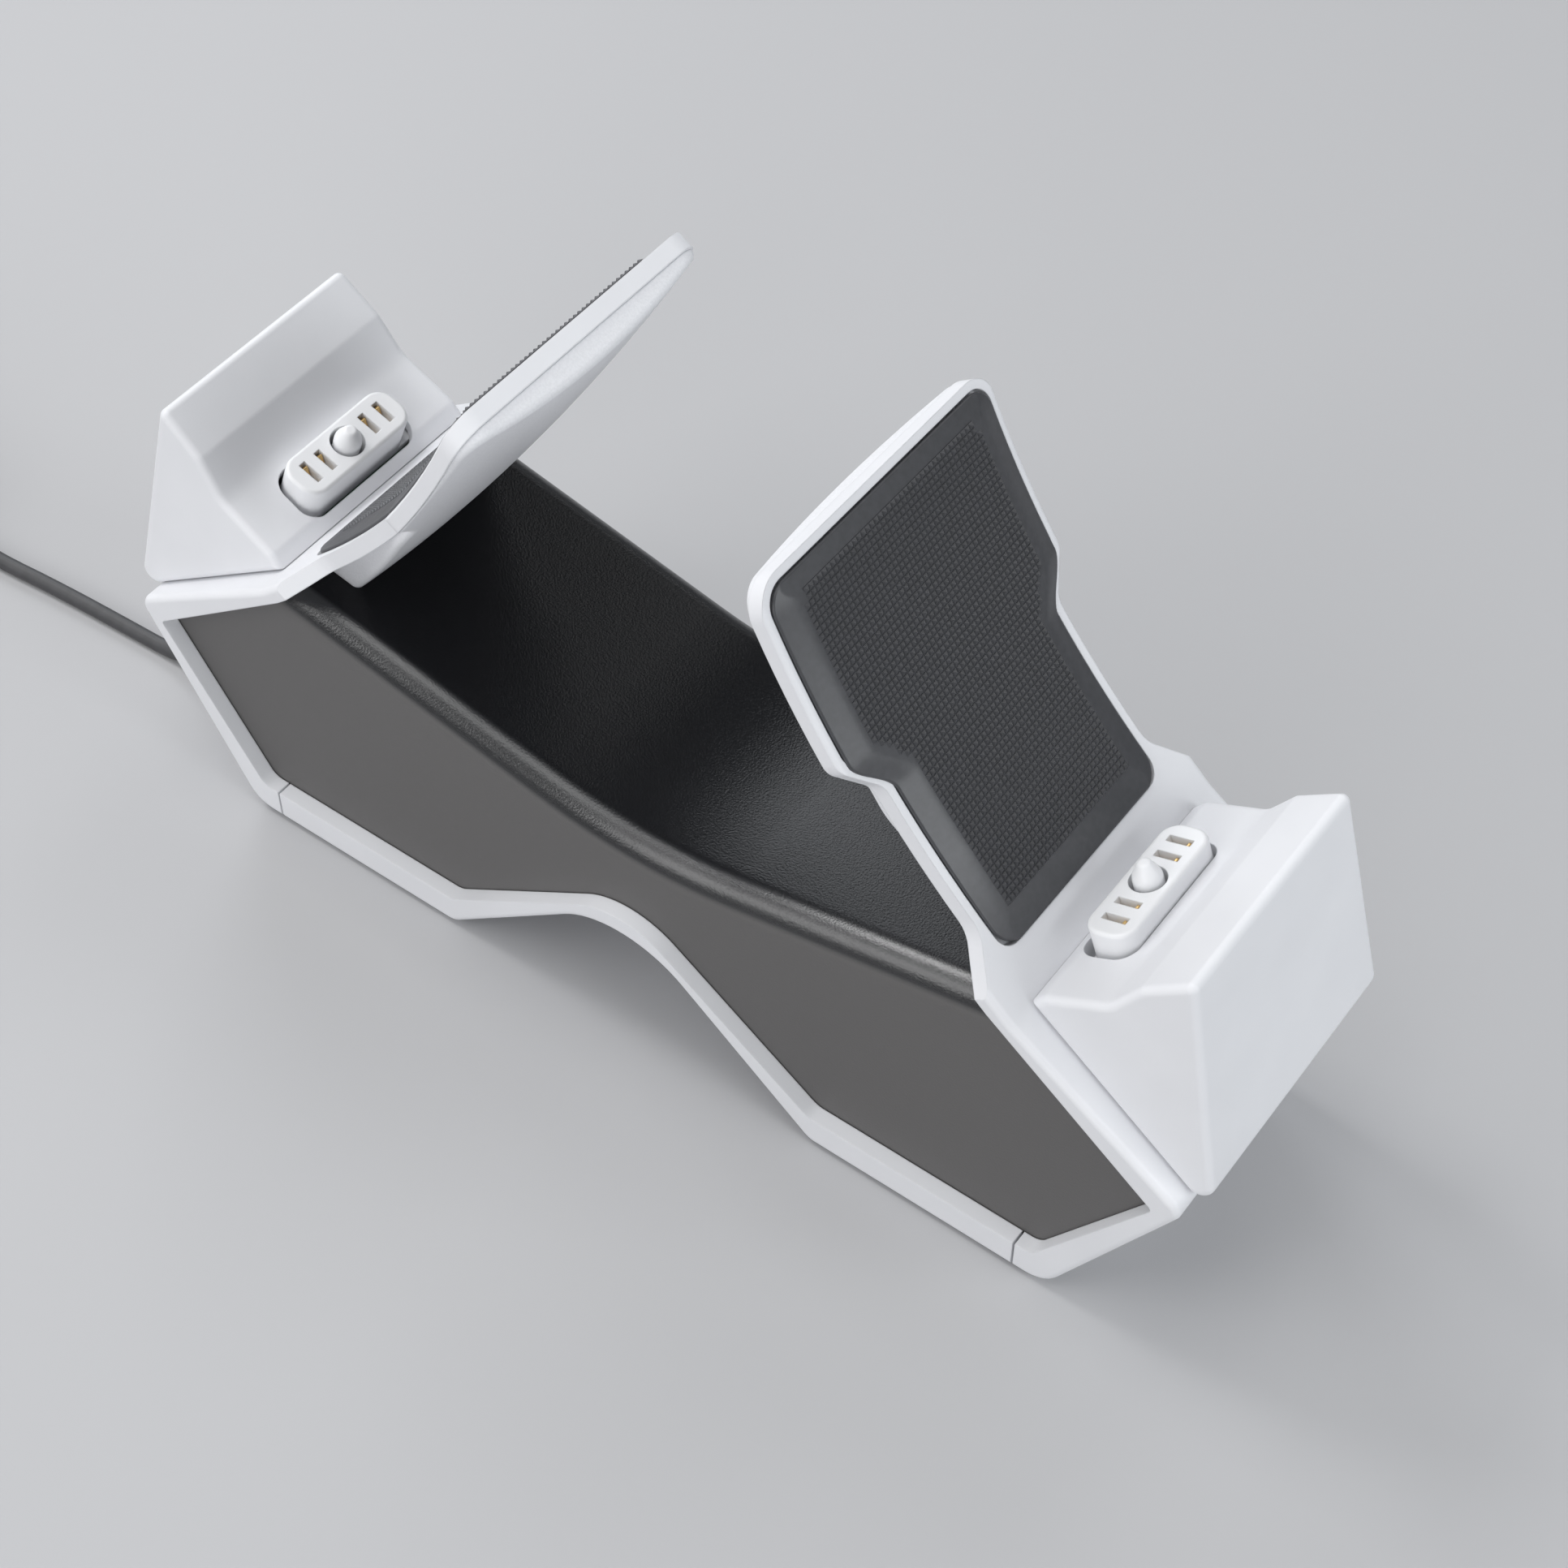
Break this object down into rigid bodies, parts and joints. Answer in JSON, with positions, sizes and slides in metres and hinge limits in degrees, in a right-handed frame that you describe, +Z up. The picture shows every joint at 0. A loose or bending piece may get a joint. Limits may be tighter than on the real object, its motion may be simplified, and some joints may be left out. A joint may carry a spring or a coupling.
{
  "type": "controller charging dock",
  "caption": "Low twin charging dock: white frame round a dark housing, with a cradle, spring contacts and a curved padded back rest at each end.",
  "frame": {"origin": "centre of the dock's footprint, on the surface that its rubber feet stand on", "axes": "+X from the left seat to the right seat, -Y towards the front, +Z up"},
  "size_m": [0.3452, 0.1023, 0.128],
  "materials": {
    "white_plastic": "satin moulded",
    "dark_plastic": "finely grained satin",
    "pad_rubber": "matt with raised diamonds",
    "connector_plastic": "satin moulded",
    "post_plastic": "smooth",
    "gold": "gold plated",
    "board": "satin lacquer",
    "screw_steel": "plated",
    "foot_rubber": "matt",
    "cord_sheath": "matt",
    "tie_plastic": "matt",
    "plug_metal": "plated"
  },
  "bodies": {
    "root": {"base_shell": "white_plastic", "left_side_frame": "white_plastic", "right_side_frame": "white_plastic", "left_paddle_cover": "white_plastic", "right_paddle_cover": "white_plastic", "left_cradle": "white_plastic", "right_cradle": "white_plastic", "centre_housing": "dark_plastic", "left_grip_pad": "pad_rubber", "right_grip_pad": "pad_rubber", "left_connector": "connector_plastic", "right_connector": "connector_plastic", "left_guide_post": "post_plastic", "right_guide_post": "post_plastic", "left_contacts": "gold", "right_contacts": "gold", "left_connector_board": "board", "right_connector_board": "board", "main_board": "board", "left_cradle_screws": "screw_steel", "right_cradle_screws": "screw_steel", "base_screws": "screw_steel", "rubber_feet": "foot_rubber", "lead_sleeve": "cord_sheath", "power_lead": "cord_sheath", "lead_coil": "cord_sheath", "lead_plug": "cord_sheath", "coil_tie": "tie_plastic", "plug_shell": "plug_metal"}
  },
  "joints": []
}
